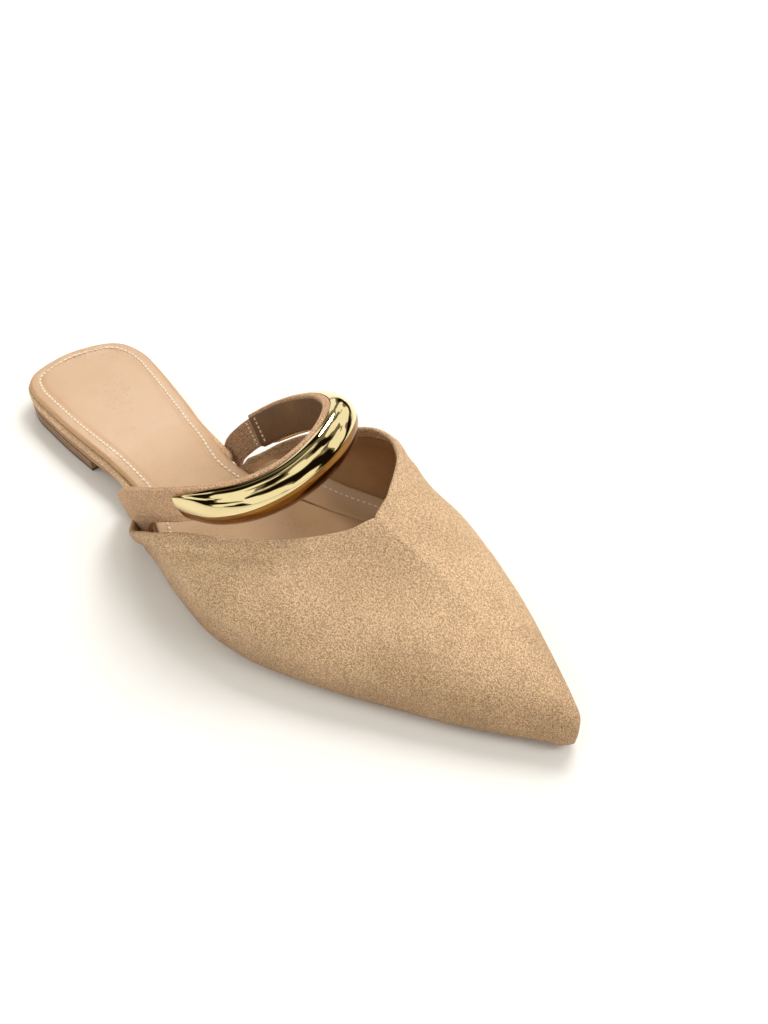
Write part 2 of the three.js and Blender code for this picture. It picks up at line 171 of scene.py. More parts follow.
print("shader helpers ready")

# %% [markdown]
# ## Light
# The shoe stands in a bright room: pale light from above and all round. A polished bar shows that
# room, so the world has bright panels and dark gaps between them. We could hang real cards round
# the shoe, but a pattern on the sky costs nothing and never casts a shadow. What the camera itself
# sees behind the floor stays plain.

# %% World
world = bpy.data.worlds.new("room")
world.use_nodes = True
bpy.context.scene.world = world
room = Finish("room", world.node_tree)
direction = room.node("TexCoord", output="Generated")
squeezed = room.node(
    "VectorMath", {"operation": "MULTIPLY"}, {0: direction, 1: (1.0, 1.15, 1.5)}
)
patches = room.noise(squeezed, 1.7, detail=1.2, roughness=0.45)
glints = room.noise(squeezed, 5.0, detail=1.0, roughness=0.5)
panels = room.step(patches + glints * 0.12, 0.575, 0.6)
gaps = room.step(patches, 0.44, 0.49)
grey = room.blend(gaps, (0.02, 0.012, 0.006, 1.0), (0.42, 0.38, 0.28, 1.0))
room_colour = room.blend(panels, grey, (2.3, 2.25, 2.05, 1.0))
seen_directly = room.node("LightPath", output="Is Camera Ray")
sky = room.blend(seen_directly, room_colour, (0.94, 0.935, 0.93, 1.0))
backdrop = room.node("Background", {}, {"Color": sky, "Strength": 0.5})
room.node("OutputWorld", {}, {"Surface": backdrop})
print("world with", len(world.node_tree.nodes), "nodes")

# %% [markdown]
# ## Lamps
# A studio lights a shoe with large soft boxes, so its shadows have no hard edge. We could use the
# world alone, but then nothing would model the toe. The boxes stay out of the bar's reflections,
# except the one whose gleam lies on the insole.


# %% Soft lamps
def softbox(name, spot, aim, size, watts, mirrored=False):
    lamp = bpy.data.lights.new(name, "AREA")
    lamp.shape = "RECTANGLE"
    lamp.size, lamp.size_y = size
    lamp.energy = watts
    lamp.color = (1.0, 0.985, 0.96)
    holder = bpy.data.objects.new(name, lamp)
    bpy.context.scene.collection.objects.link(holder)
    holder.location = spot
    holder.rotation_euler = (Vector(aim) - Vector(spot)).to_track_quat("-Z", "Y").to_euler()
    holder.visible_glossy = mirrored


softbox("key_softbox", (-0.22, 0.62, 0.98), (0, 0, 0), (0.6, 0.5), 8.3)
softbox("toe_softbox", (0.75, 0.35, 0.8), (0.08, 0, 0), (0.4, 0.4), 3.0)
softbox("front_fill", (0.4, -0.8, 0.6), (0, 0, 0), (0.6, 0.4), 1.0)
softbox("heel_fill", (-0.7, -0.55, 0.6), (0, 0, 0.01), (0.6, 0.5), 1.0)
GLEAM_SPOT = (-0.045, -0.017, 0.013)
softbox("insole_gleam", (-0.76, 0.30, 0.635), GLEAM_SPOT, (0.2, 0.16), 1.5, mirrored=True)
print("lamps:", len(bpy.data.lights))

# %% [markdown]
# ## Colour management
# A film-like view bends bright tones to look like a photograph on film. We could use one, but a
# picture meant to match colours spot by spot needs its tones left as they are.

# %% Colour management
view = bpy.context.scene.view_settings
view.view_transform = "Standard"
view.look = "None"
view.exposure = 0.0
view.gamma = 1.0
print("view transform", view.view_transform)

# %% [markdown]
# ## The floor
# A plain pale sheet, large enough to fill the picture from any side. It isn't part of the shoe, so
# it is staged.

# %% Floor
FLOOR_HALF = 4.0
floor_paint = Finish("floor_paint")
cloudy = floor_paint.noise(floor_paint.place(1, 1, 1), 0.004, detail=2.0)
floor_shade = floor_paint.blend(cloudy, (0.90, 0.895, 0.885, 1.0), (0.93, 0.925, 0.915, 1.0))
floor_paint.skin(Base_Color=floor_shade, Roughness=0.85)
corners = [(-FLOOR_HALF, -FLOOR_HALF, 0), (FLOOR_HALF, -FLOOR_HALF, 0)]
corners += [(FLOOR_HALF, FLOOR_HALF, 0), (-FLOOR_HALF, FLOOR_HALF, 0)]
floor_mesh = bpy.data.meshes.new("floor")
floor_mesh.from_pydata(corners, [], [(0, 1, 2, 3)])
floor_mesh.materials.append(floor_paint.material)
floor = bpy.data.objects.new("floor", floor_mesh)
bpy.context.scene.collection.objects.link(floor)
print("floor", 2 * FLOOR_HALF, "m wide")

# %% [markdown]
# ## The shoe's own sizes
# A shoemaker reads a last as a set of sections: how wide it is here, how high there. We could
# trace meshes off the solids, but the sizes behind them are few, so we write the same tables again,
# as shares of the length, the ball's width and the throat's height, and draw a smooth line through
# each.

# %% Driving sizes, in millimetres
LENGTH = 265.0
BALL_WIDTH = 79.0
HEEL_LIFT = 5.3
TOE_SPRING = 1.3
INSTEP_HEIGHT = 56.0
THROAT_HEIGHT = 42.4
OUTSOLE = 2.2
BOARD = 3.8
SOCK = 1.6
WALL = 1.9
STRAP = 2.6
STRAP_LINING = 0.75
ELASTIC = 1.5
GAP = 0.3
HEEL_BLOCK = 60.5
STRAP_WIDTH = 13.0
ELASTIC_WIDTH = 11.0
BAR_WIDTH = 12.0
BAR_HEIGHT = 6.0
BAR_LIP = 1.3
MIDDLE = np.array([132.5, 1.046, 0.0])
print("shoe", LENGTH, "mm long,", BALL_WIDTH, "mm wide at the ball")


# %% A smooth line through a column of a table
def column(at, value, level=False):
    at, value = np.asarray(at, float), np.asarray(value, float)
    rise = np.diff(value) / np.diff(at)
    slope = np.zeros(len(at))
    if not level:
        slope[0], slope[-1] = rise[0], rise[-1]
    product, total = rise[:-1] * rise[1:], rise[:-1] + rise[1:]
    slope[1:-1] = np.where(product > 0, 2 * product / np.where(total == 0, 1, total), 0)

    def read(share):
        s = np.clip(np.asarray(share, float), at[0], at[-1])
        i = np.clip(np.searchsorted(at, s) - 1, 0, len(rise) - 1)
        span = at[i + 1] - at[i]
        t = (s - at[i]) / span
        early = (slope[i] - rise[i]) * span * t * (1 - t) ** 2
        late = (rise[i] - slope[i + 1]) * span * t**2 * (1 - t)
        return value[i] + early + rise[i] * span * t + late

    return read


def columns(rows, level=False):
    """One smooth line for each column after the first, which says where the rows are."""
    turned = list(zip(*rows))
    return [column(turned[0], values, level) for values in turned[1:]]


def ease(value, low, high):
    t = np.clip((np.asarray(value, float) - low) / (high - low), 0, 1)
    return t * t * (3 - 2 * t)


def unit(vectors):
    return vectors / np.linalg.norm(vectors, axis=-1, keepdims=True)


def run_along(points):
    """How far along a line of points each of them lies."""
    return np.concatenate([[0], np.cumsum(np.linalg.norm(np.diff(points, axis=0), axis=1))])


def read_at(at, known, points):
    """The points' three coordinates, read at other places along them."""
    return np.stack([np.interp(at, known, points[:, i]) for i in range(3)], 1)


print("halfway up a smooth step:", ease(0.5, 0, 1))

# %% Outline and height of the sole
OUTLINE_ALONG = [0, 0.015, 0.045, 0.09, 0.15, 0.226, 0.302, 0.377, 0.453, 0.528]
OUTLINE_ALONG += [0.596, 0.66, 0.717, 0.774, 0.83, 0.887, 0.94, 0.977, 0.994, 1.0]
OUTLINE_LATERAL = [0.038, 0.247, 0.334, 0.359, 0.359, 0.349, 0.335, 0.377, 0.462, 0.508]
OUTLINE_LATERAL += [0.519, 0.486, 0.414, 0.322, 0.216, 0.108, -0.008, -0.098, -0.135, -0.177]
OUTLINE_MEDIAL = [-0.038, 0.17, 0.257, 0.281, 0.258, 0.216, 0.175, 0.166, 0.2, 0.292]
OUTLINE_MEDIAL += [0.408, 0.508, 0.552, 0.522, 0.459, 0.385, 0.31, 0.251, 0.219, 0.177]
rows_at = np.linspace(0, 1, len(OUTLINE_ALONG))
outline_along = column(rows_at, OUTLINE_ALONG, level=True)
outline_lateral = column(rows_at, OUTLINE_LATERAL)
outline_medial = column(rows_at, OUTLINE_MEDIAL)
heel_share, toe_share = columns(
    [(0, 1, 0), (0.24, 1, 0), (0.415, 0.52, 0), (0.6, 0, 0), (0.8, 0, 0), (1, 0, 1)]
)


def ground(x):
    return heel_share(x / LENGTH) * HEEL_LIFT + toe_share(x / LENGTH) * TOE_SPRING


def board_bottom(x):
    return ground(x) + OUTSOLE + GAP


def board_top(x):
    return board_bottom(x) + BOARD


def sock_top(x):
    return board_top(x) + GAP + SOCK


def edge(share, side):
    across = -outline_lateral(share) if side < 0 else outline_medial(share)
    return np.stack([outline_along(share) * LENGTH, across * BALL_WIDTH], -1)


def share_of(x):
    """The outline's share at which it has come x millimetres from the heel."""
    fine = np.linspace(0, 1, 4001)
    return np.interp(x, outline_along(fine) * LENGTH, fine)


print("ball", np.round(np.ptp([edge(share_of(180.0), s)[1] for s in (-1, 1)]), 1), "mm across")

# %% [markdown]
# ## Moving the outline inward
# Board, insole and stitches all follow the sole's edge at their own distance. We could scale the
# outline, but that would narrow the waist less than the ball, so each point moves along the way
# that the edge faces. Beside the vamp the footbed steps in, to leave room for the wall.


# %% The outline moved inward
def outward_of(share, side):
    step = 1e-3
    run = unit(edge(np.minimum(share + step, 1), side) - edge(np.maximum(share - step, 0), side))
    out = np.stack([-run[..., 1] * side, run[..., 0] * side], -1)
    out[np.asarray(share) <= 0] = (-1, 0)
    out[np.asarray(share) >= 1] = (1, 0)
    return out


def inset_edge(share, side, inset):
    spot = edge(share, side)
    distance = inset(spot[..., 0]) if callable(inset) else inset
    return spot - outward_of(share, side) * np.reshape(distance, (-1, 1))


VAMP_REAR = 0.394
STEP_LEAD = 3.2
VAMP_START = VAMP_REAR * LENGTH - STEP_LEAD
FEATHER_TUCK = 0.5
VAMP_INSET = FEATHER_TUCK + WALL + 2 * GAP
OUTSOLE_INSET = 1.8


def beside_vamp(x):
    return VAMP_INSET * ease(x, VAMP_START - 4, VAMP_START)


def beside_vamp_soft(x):
    """The same step taken over a longer run, for the insole, whose edge is seen."""
    return VAMP_INSET * ease(x, VAMP_START - 22, VAMP_START + 2)


def sole_inset(x):
    return GAP + (OUTSOLE_INSET - GAP) * ease(x, HEEL_BLOCK, VAMP_START)


print("the footbed steps in by", VAMP_INSET, "mm beside the vamp")

# %% [markdown]
# ## Making the pieces
# Every piece is a grid of points in millimetres with faces between them. We could draw each with
# Blender's own tools, but a grid keeps the shoe's sections exact. Another lays a row of stitches,
# each a short rod of thread that arches a little.


# %% Turning rows of points into a piece
def put(name, points, faces, finish, node=None, crease=None):
    """A mesh piece from millimetre points in the shoe's frame, riding on the part's only body."""
    mesh = bpy.data.meshes.new(name)
    spots = (np.asarray(points) - MIDDLE) / 1000
    mesh.from_pydata(spots.tolist(), [], [tuple(int(i) for i in f) for f in faces])
    mesh.validate()
    mesh.shade_smooth()
    if crease:
        mesh.set_sharp_from_angle(angle=math.radians(crease))
    mesh.materials.append(finish)
    made = bpy.data.objects.new(name, mesh)
    bpy.context.scene.collection.objects.link(made)
    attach(made, "root")
    if node:
        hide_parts(node)
    print(name, len(mesh.vertices), "points,", len(mesh.polygons), "faces")
    return made


def grid_faces(index, close=False):
    """Quads over a grid of point numbers; close joins the last column to the first."""
    if close:
        index = np.concatenate([index, index[:, :1]], 1)
    a, b, c, d = index[:-1, :-1], index[:-1, 1:], index[1:, 1:], index[1:, :-1]
    faces = np.stack([a, b, c, d], -1).reshape(-1, 4)
    kept = []
    for face in faces.tolist():
        slim = [v for i, v in enumerate(face) if v != face[i - 1]]
        if len(set(slim)) > 2:
            kept.append(slim)
    return kept


def tube_faces(start, rings, sides):
    """The faces of a tube of rings, closed at both ends, whose first point has this number."""
    index = start + np.arange(rings * sides).reshape(rings, sides)
    return grid_faces(index, close=True) + [index[0][::-1].tolist(), index[-1].tolist()]


def capsules(spots, runs, ups, long, wide, high, slices=10, sides=8):
    """Short rounded rods, one for each stitch, lying along runs with ups pointing out."""
    angle = np.linspace(0, np.pi, slices)
    round_ = np.linspace(0, 2 * np.pi, sides, endpoint=False)
    along = -np.cos(angle) * long / 2
    girth = np.sin(angle) ** 0.55
    points, faces = [], []
    for spot, run, up_ in zip(spots, runs, ups):
        side = np.cross(up_, run)
        start = len(points)
        for place, size in zip(along, girth):
            for a in round_:
                arch = high * 0.35 * (1 - (2 * place / long) ** 2)
                points.append(
                    spot + run * place + side * (np.cos(a) * wide / 2 * size)
                    + up_ * (np.sin(a) * high / 2 * size + arch)
                )
        faces += tube_faces(start, slices, sides)
    return np.array(points), faces


print("mesh helpers ready")

# %% [markdown]
# ## Suede
# Suede is the brushed flesh side of leather: short fibres that stand and lie in patches, so it is
# matt, speckled close up and cloudy further off, with a soft glow at grazing angles. We could
# scatter real hair, but the fibres are far under a millimetre, so layers of noise for the speckle,
# the brushed patches and the wide clouds do it, with sheen for the glow and a fine bump. Near the
# floor the vamp's suede is painted darker: a painted shade on its lower sides, towards where it
# turns under.


# %% Suede
def make_suede(name, base, tone=0.07, painted_low_shade=0.0):
    """base is the suede's mean colour; tone is how far its brushed patches leave it."""
    suede = Finish(name)
    spot = suede.place(1, 1, 1)
    nap = suede.noise(suede.place(1.0, 1.3, 1.0), 3.1, detail=2.0, roughness=0.6)
    flecks = suede.noise(suede.place(0.8, 1.5, 1.2), 1.8, detail=1.0, roughness=0.5)
    brushed = suede.noise(suede.place(0.45, 1.0, 0.8), 0.16, detail=3.0, roughness=0.6)
    clouds = suede.noise(spot, 0.042, detail=3.0, roughness=0.55)
    grain = suede.step(nap * 0.7 + flecks * 0.3, 0.4, 0.6)
    patches = suede.step(clouds * 0.75 + brushed * 0.25, 0.34, 0.66)
    dull = tuple(c * (1 - tone * k) for c, k in zip(base, (1.0, 1.25, 1.5))) + (1.0,)
    fresh = tuple(c * (1 + tone) for c in base[:3]) + (1.0,)
    shade = suede.blend(patches, dull, fresh)
    speckle = suede.blend(grain, (0.56, 0.52, 0.48, 1.0), (1.38, 1.4, 1.42, 1.0))
    shade = suede.blend(1.0, shade, speckle, kind="MULTIPLY")
    # painted shade: the suede is darkened towards the floor, on the vamp's lower sides
    if painted_low_shade:
        height = suede.node("SeparateXYZ", {}, {0: spot}, output="Z")
        low = (1.0 - suede.step(height + clouds * 10.0, 7.0, 32.0)) * painted_low_shade
        painted_shade_colour = suede.blend(1.0, shade, (0.6, 0.55, 0.5, 1.0), kind="MULTIPLY")
        shade = suede.blend(low, shade, painted_shade_colour)
    return suede.skin(
        Base_Color=shade,
        Roughness=0.95 - grain * 0.1,
        Normal=suede.bump(nap * 0.75 + flecks * 0.25, 0.6, strength=0.9),
        Sheen_Weight=0.18,
        Sheen_Roughness=0.5,
        Sheen_Tint=(1.0, 0.88, 0.74, 1.0),
        Specular_IOR_Level=0.15,
    )


suede_main = make_suede("suede", colour(217, 184, 148), painted_low_shade=0.9)
suede_strap = make_suede("strap_suede", colour(200, 162, 128))
print("suede with", len(suede_main.node_tree.nodes), "nodes")

# %% [markdown]
# ## Leather, thread and elastic
# The insole is a smooth polished leather, the linings a duller one with small creases. Thread is
# twisted, so it gets slanted ridges. The elastic is a heather of light and dark yarns in ribs. We
# could paint each with one flat colour, but pores, twist and yarn are what tells them apart.


# %% Leathers
def make_leather(name, base, deep, roughness, grain_size, grain_depth, crease=0.0):
    leather = Finish(name)
    spot = leather.place(1, 1, 1)
    pores = leather.node(
        "TexVoronoi", {"feature": "DISTANCE_TO_EDGE"}, {"Vector": spot, "Scale": grain_size}
    )
    clouds = leather.noise(spot, 0.05, detail=3.0)
    fine = leather.noise(spot, 1.4, detail=3.0, roughness=0.6)
    shade = leather.blend(leather.step(clouds * 0.7 + fine * 0.3, 0.3, 0.7), deep, base)
    folds = leather.noise(leather.place(1, 0.25, 1), 0.22, detail=2.0)
    height = leather.step(pores, 0.0, 0.25) * 0.5 + fine * 0.3 + folds * crease
    return leather.skin(
        Base_Color=shade,
        Roughness=roughness + (fine - 0.5) * 0.16 + (clouds - 0.5) * 0.12,
        Normal=leather.bump(height, grain_depth, strength=0.8),
        Coat_Weight=0.08,
        Coat_Roughness=0.35,
    )


insole_leather = make_leather(
    "insole_leather", colour(190, 152, 114), colour(181, 142, 103), 0.3, 1.5, 0.035, 1.6
)
lining_leather = make_leather(
    "lining_leather", colour(172, 128, 86), colour(150, 106, 66), 0.5, 1.1, 0.08, 3.0
)
# The strap's lining: a dark brown leather, painted darker still as shade for the shadow under the
# strap
strap_leather_painted_shade = make_leather(
    "strap_leather_painted_shade", colour(112, 78, 44), colour(82, 53, 26), 0.42, 1.1, 0.08, 4.0
)
print("three leathers")

# %% Thread
thread = Finish("thread")
twist = thread.node(
    "TexWave",
    {"wave_type": "BANDS", "bands_direction": "DIAGONAL"},
    {"Vector": thread.place(1, 1, 1), "Scale": 0.9, "Distortion": 0.4},
)
thread_shade = thread.blend(twist, colour(236, 216, 188), colour(255, 246, 228))
thread.skin(
    Base_Color=thread_shade,
    Roughness=0.62 + twist * 0.1,
    Normal=thread.bump(twist, 0.08),
    Sheen_Weight=0.2,
)
print("thread")

# %% Elastic
elastic_web = Finish("elastic")
yarn = elastic_web.noise(elastic_web.place(1.6, 1.6, 0.5), 1.6, detail=3.0, roughness=0.7)
weft = elastic_web.noise(elastic_web.place(0.6, 0.6, 3.0), 1.5, detail=2.0)
elastic_shade = elastic_web.blend(
    elastic_web.step(yarn * 0.6 + weft * 0.4, 0.38, 0.62),
    colour(132, 96, 70),
    colour(204, 166, 130),
)
elastic_web.skin(
    Base_Color=elastic_shade,
    Roughness=0.9,
    Normal=elastic_web.bump(yarn * 0.5 + weft, 0.18),
    Sheen_Weight=0.25,
)
print("elastic")

# %% [markdown]
# ## Polished gold
# The bar is plated and polished, with nothing of its own to see but the room in it. We could leave
# it a perfect mirror, but real plating is never quite clean, so a very weak noise moves the
# roughness, and a few hairlines take the edge off.

# %% Gold
gold = Finish("gold")
smear = gold.noise(gold.place(1, 1, 1), 0.12, detail=3.0)
hairline = gold.noise(gold.place(0.3, 3.0, 3.0), 1.2, detail=4.0, roughness=0.7)
gold_shade = gold.blend(smear, colour(222, 202, 146), colour(234, 219, 176))
gold.skin(
    Base_Color=gold_shade,
    Metallic=1.0,
    Roughness=0.02 + smear * 0.02 + gold.step(hairline, 0.62, 0.8) * 0.03,
    Normal=gold.bump(smear, 0.05, strength=0.3),
)
print("gold")

# %% [markdown]
# ## Sole and heel
# The outsole is thin and brown at its edge; the heel is cut from a stack of board, stained brown,
# so fine level lines run round it, over a rubber top piece that meets the floor. We could model
# each board, but they are one block to the eye, so the height alone says where a line falls.

# %% Sole and heel finishes
HEEL_LAYER = 0.92
stack = Finish("heel_stack")
stack_spot = stack.place(1, 1, 1)
level = stack.node("SeparateXYZ", {}, {0: stack_spot}, output="Z")
layer_wave = stack.node("Math", {"operation": "PINGPONG"}, {0: level, 1: HEEL_LAYER / 2})
line = 1.0 - stack.step(layer_wave, 0.02, 0.16)
streaks = stack.noise(stack.place(0.35, 0.35, 2.2), 0.9, detail=4.0, roughness=0.6)
rubber = 1.0 - stack.step(level, 1.35, 1.5)
grain = stack.step(streaks, 0.3, 0.7)
stack_shade = stack.blend(grain, colour(132, 98, 74), colour(170, 132, 100))
stack_shade = stack.blend(line * 0.5, stack_shade, colour(84, 58, 40))
stack_shade = stack.blend(rubber * 0.8, stack_shade, colour(78, 54, 40))
stack.skin(
    Base_Color=stack_shade,
    Roughness=0.42 + streaks * 0.2 + rubber * 0.15,
    Normal=stack.bump(streaks * 0.4 - line, 0.12),
    Coat_Weight=0.1,
)

outsole_finish = Finish("outsole_leather")
outsole_spot = outsole_finish.place(1, 1, 1)
rubbed = outsole_finish.noise(outsole_finish.place(0.5, 1, 1), 0.35, detail=4.0, roughness=0.6)
speck = outsole_finish.noise(outsole_spot, 1.8, detail=3.0)
outsole_shade = outsole_finish.blend(
    outsole_finish.step(rubbed * 0.7 + speck * 0.3, 0.3, 0.7),
    colour(148, 108, 76),
    colour(186, 148, 112),
)
outsole_finish.skin(
    Base_Color=outsole_shade,
    Roughness=0.55 + speck * 0.2,
    Normal=outsole_finish.bump(speck + rubbed, 0.08),
)
print("sole and heel finishes")

# %% [markdown]
# ## Sole, footbed and insole
# Each layer follows the same outline, moved inward and laid at its own height. We could extrude a
# curve, but the sole rises at the heel and the toe, so we stack rings of points instead and fill
# the top and bottom with a grid, which leaves room for the channel that the insole's stitches sit
# in.


# %% A layer of the sole
AROUND = 220


def layer(rings, top_rows=2, relief=None):
    """Rings of (inset, height) from bottom to top, closed below and filled above by a grid."""
    shares = np.concatenate([np.linspace(0, 1, AROUND + 1), np.linspace(1, 0, AROUND + 1)[1:-1]])
    sides = np.array([-1] * (AROUND + 1) + [1] * (AROUND - 1))
    points = []
    for inset, height in rings:
        lateral, medial = inset_edge(shares, -1, inset), inset_edge(shares, 1, inset)
        spot = np.where((sides < 0)[:, None], lateral, medial)
        points.append(np.column_stack([spot, height(spot[:, 0])]))
    count = len(shares)
    index = np.arange(len(rings) * count).reshape(len(rings), count)
    faces = grid_faces(index, close=True)
    mirror = [(count - i) % count for i in range(AROUND + 1)]
    for i in range(AROUND):
        a, b = mirror[i], mirror[i + 1]
        faces.append([a, b, i + 1, i] if a != i else [b, i + 1, i])
    faces = [[v for k, v in enumerate(f) if v != f[k - 1]] for f in faces]
    faces = [f for f in faces if len(set(f)) > 2]

    last = index[-1]
    lateral, medial = points[-1][: AROUND + 1], points[-1][mirror]
    total = len(rings) * count
    rows = [last[: AROUND + 1]]
    fill = []
    for r in range(1, top_rows):
        w = r / top_rows
        row = lateral * (1 - w) + medial * w
        width = np.abs(medial[:, 1] - lateral[:, 1])
        if relief is not None:
            row[:, 2] += relief(row[:, 0], np.minimum(w, 1 - w) * width)
        fill.append(row)
        rows.append(total + (r - 1) * (AROUND + 1) + np.arange(AROUND + 1))
    rows.append(np.array([last[m] for m in mirror]))
    faces += grid_faces(np.array(rows))
    return np.concatenate(points + fill), faces


def stacked(inset, rows):
    """The rings of a layer, from rows of (further inset, level, height over that level)."""
    return [
        (lambda x, more=more: inset(x) + more, lambda x, level=level, over=over: level(x) + over)
        for more, level, over in rows
    ]


print("layers of", 2 * AROUND, "points round")

# %% Outsole
outsole_rows = [(0.8, ground, 0), (0.24, ground, 0.22), (0, ground, 0.8)]
outsole_rows += [(0, ground, OUTSOLE - 0.25), (0.25, ground, OUTSOLE)]
points, faces = layer(stacked(sole_inset, outsole_rows))
put("outsole_dressed", points, faces, outsole_finish.material, "outsole", 40)

# %% Footbed, wrapped in suede
wrap_rows = [(1.0, board_bottom, 0), (0.35, board_bottom, 0.15), (0.05, board_bottom, 0.6)]
wrap_rows += [(0, board_bottom, 1.3), (0, board_top, -1.1), (0.12, board_top, -0.45)]
wrap_rows += [(0.5, board_top, -0.08), (1.1, board_top, 0), (2.4, board_top, 0)]
points, faces = layer(stacked(beside_vamp, wrap_rows))
footbed_suede = make_suede("footbed_suede", colour(222, 186, 148))
put("footbed_wrap", points, faces, footbed_suede, "footbed", 50)

# %% Insole with its stitch channel
STITCH_INSET = 5.2
SOCK_INSET = 1.0


def insole_relief(x, from_edge):
    channel = -0.1 * np.exp(-(((from_edge - STITCH_INSET + SOCK_INSET) / 0.8) ** 2))
    hollow = -0.35 * ease(from_edge, 4.0, 22.0) * (1 - ease(x, 70, 120))
    return channel + hollow


sock_rows = [(SOCK_INSET, board_top, 0.05), (SOCK_INSET, sock_top, -0.9)]
sock_rows += [(SOCK_INSET + more, sock_top, over) for more, over in ((0.14, -0.4), (0.5, -0.1))]
sock_rows += [(SOCK_INSET + 1.0, sock_top, 0)]
points, faces = layer(stacked(beside_vamp_soft, sock_rows), top_rows=72, relief=insole_relief)
put("insole_dressed", points, faces, insole_leather, "insole")

# %% [markdown]
# ## The insole's stitches
# A running stitch holds the insole's edge. We could draw it in the finish, but a real thread stands
# proud and casts a tiny shadow, so each stitch is a rod. They start inside the vamp on the outer
# side, go round the heel and come back to where the insole turns up the inner wall.


# %% The insole's running stitch
def walk(points, pitch):
    """Evenly spaced spots along a line of points, with the way the line runs at each."""
    length = run_along(points)
    at = np.arange(pitch / 2, length[-1], pitch)
    ahead, behind = (read_at(at + step, length, points) for step in (0.3, -0.3))
    return read_at(at, length, points), unit(ahead - behind)


STITCH_PITCH = 2.25
STITCH_LENGTH = 1.7
STITCH_WIDTH = 0.85
STITCH_DEPTH = 0.5
LATERAL_END = 215.0
MEDIAL_END = 113.0


def stitch_inset(x):
    return beside_vamp_soft(x) + STITCH_INSET


lateral_line = inset_edge(np.linspace(share_of(LATERAL_END), 0, 500), -1, stitch_inset)
medial_line = inset_edge(np.linspace(0, share_of(MEDIAL_END), 500)[1:], 1, stitch_inset)
line_plan = np.concatenate([lateral_line, medial_line])
stitch_line = np.column_stack([line_plan, sock_top(line_plan[:, 0]) - 0.02])
spots, runs = walk(stitch_line, STITCH_PITCH)
ups = np.tile([0.0, 0.0, 1.0], (len(spots), 1))
points, faces = capsules(spots, runs, ups, STITCH_LENGTH, STITCH_WIDTH, STITCH_DEPTH)
put("insole_stitches", points, faces, thread.material)
print(len(spots), "stitches")

# %% [markdown]
# ## Heel block
# The block follows the sole's outline as far as its slanted front. We could cut a prism with a
# boolean, but we already stack rings for the layers above, so we stack them again, and each ring
# stops at the front face, which leans forward as it rises.

# %% Heel block
BREAST_LEAN = math.tan(math.radians(8))
HEEL_TOP = HEEL_LIFT - GAP


def heel_ring(height, inset):
    breast = HEEL_BLOCK + height * BREAST_LEAN
    reach = share_of(breast)
    share = np.linspace(0, 1, 91) * reach
    lateral = inset_edge(share, -1, 0.3 + inset)
    medial = inset_edge(share, 1, 0.3 + inset)
    front = np.linspace(lateral[-1], medial[-1], 25)[1:-1]
    plan = np.concatenate([lateral, front, medial[::-1][:-1]])
    plan[91:114, 0] = breast - inset
    return np.column_stack([plan, np.full(len(plan), height)])


heel_levels = [(0.0, 0.4), (0.12, 0.12), (0.4, 0.0), (1.32, 0.0), (1.4, 0.1), (1.48, 0.0)]
for cut in (2.3, 3.2, 4.1):
    heel_levels += [(cut - 0.08, 0.0), (cut, 0.06), (cut + 0.08, 0.0)]
heel_levels += [(HEEL_TOP - 0.1, 0.0), (HEEL_TOP, 0.1)]
rings = [heel_ring(height, inset) for height, inset in heel_levels]
faces = tube_faces(0, len(rings), len(rings[0]))
put("heel_stack", np.concatenate(rings), faces, stack.material, "heel_block", 35)

# %% [markdown]
# ## The vamp
# The vamp is one piece of suede pulled over the last, open at the back in a V. At each station
# along the sole we have a section from the sole's edge up to the spine or to the topline. We could
# lay a cloth over a form and shrink it, but the sections are the shoe's true shape, so we draw them
# fine, then press the soft grooves in.

# %% Sections of the vamp
CREST = [
    (0.38, 1.36, -0.02), (0.5, 1.26, 0.0), (0.62, 1.12, 0.04), (0.713, 1.0, 0.084),
    (0.774, 0.87, 0.118), (0.83, 0.725, 0.14), (0.887, 0.585, 0.155), (0.94, 0.475, 0.166),
    (0.977, 0.39, 0.173), (0.994, 0.325, 0.176), (1.0, 0.26, 0.177),
]
TOPLINE = [
    (0.394, 0.06, 0.072, 0.034, 0.035, 1.0001),
    (0.408, 0.087, 0.121, 0.052, 0.09, 1.004),
    (0.43, 0.146, 0.215, 0.06, 0.135, 1.0101),
    (0.465, 0.251, 0.327, 0.035, 0.18, 1.0204),
    (0.507, 0.425, 0.422, 0.01, 0.192, 1.0343),
    (0.555, 0.573, 0.536, 0.0, 0.203, 1.0565),
    (0.604, 0.703, 0.609, 0.0, 0.169, 1.0779),
    (0.642, 0.795, 0.667, 0.0, 0.095, 1.0757),
    (0.672, 0.876, 0.772, 0.0, 0.047, 1.0441),
    (0.694, 0.935, 0.881, 0.0, 0.026, 1.017),
    (0.713, 1.0, 1.0, 0.0, 0.018, 1.0),
    (0.78, 1.0, 1.0, 0.0, 0.0, 1.0),
]
crest_height, crest_across = columns(CREST)
top_lateral, top_medial, lean_lateral, lean_medial, lift_medial = columns(TOPLINE)
APEX = 0.713
instep_at = np.linspace(0, 1, 8)
INSTEP_LATERAL_IN = column(instep_at, [0, -0.02, -0.015, 0.085, 0.235, 0.45, 0.7, 1])
INSTEP_LATERAL_UP = column(instep_at, [0, 0.18, 0.35, 0.47, 0.585, 0.67, 0.79, 1])
INSTEP_MEDIAL_IN = column(instep_at, [0, 0, 0.05, 0.125, 0.245, 0.45, 0.72, 1])
INSTEP_MEDIAL_UP = column(instep_at, [0, 0.17, 0.35, 0.545, 0.745, 0.905, 0.985, 1])
toe_at = np.linspace(0, 1, 9)
TOE_UP = column(toe_at, [0, 0.2, 0.4, 0.6, 0.76, 0.88, 0.96, 0.99, 1])
TOE_LATERAL_IN = column(toe_at, [0, -0.03, 0, 0.1, 0.27, 0.48, 0.72, 0.87, 1])
TOE_MEDIAL_IN = column(toe_at, [0, -0.038, -0.025, 0.03, 0.125, 0.27, 0.48, 0.72, 1])
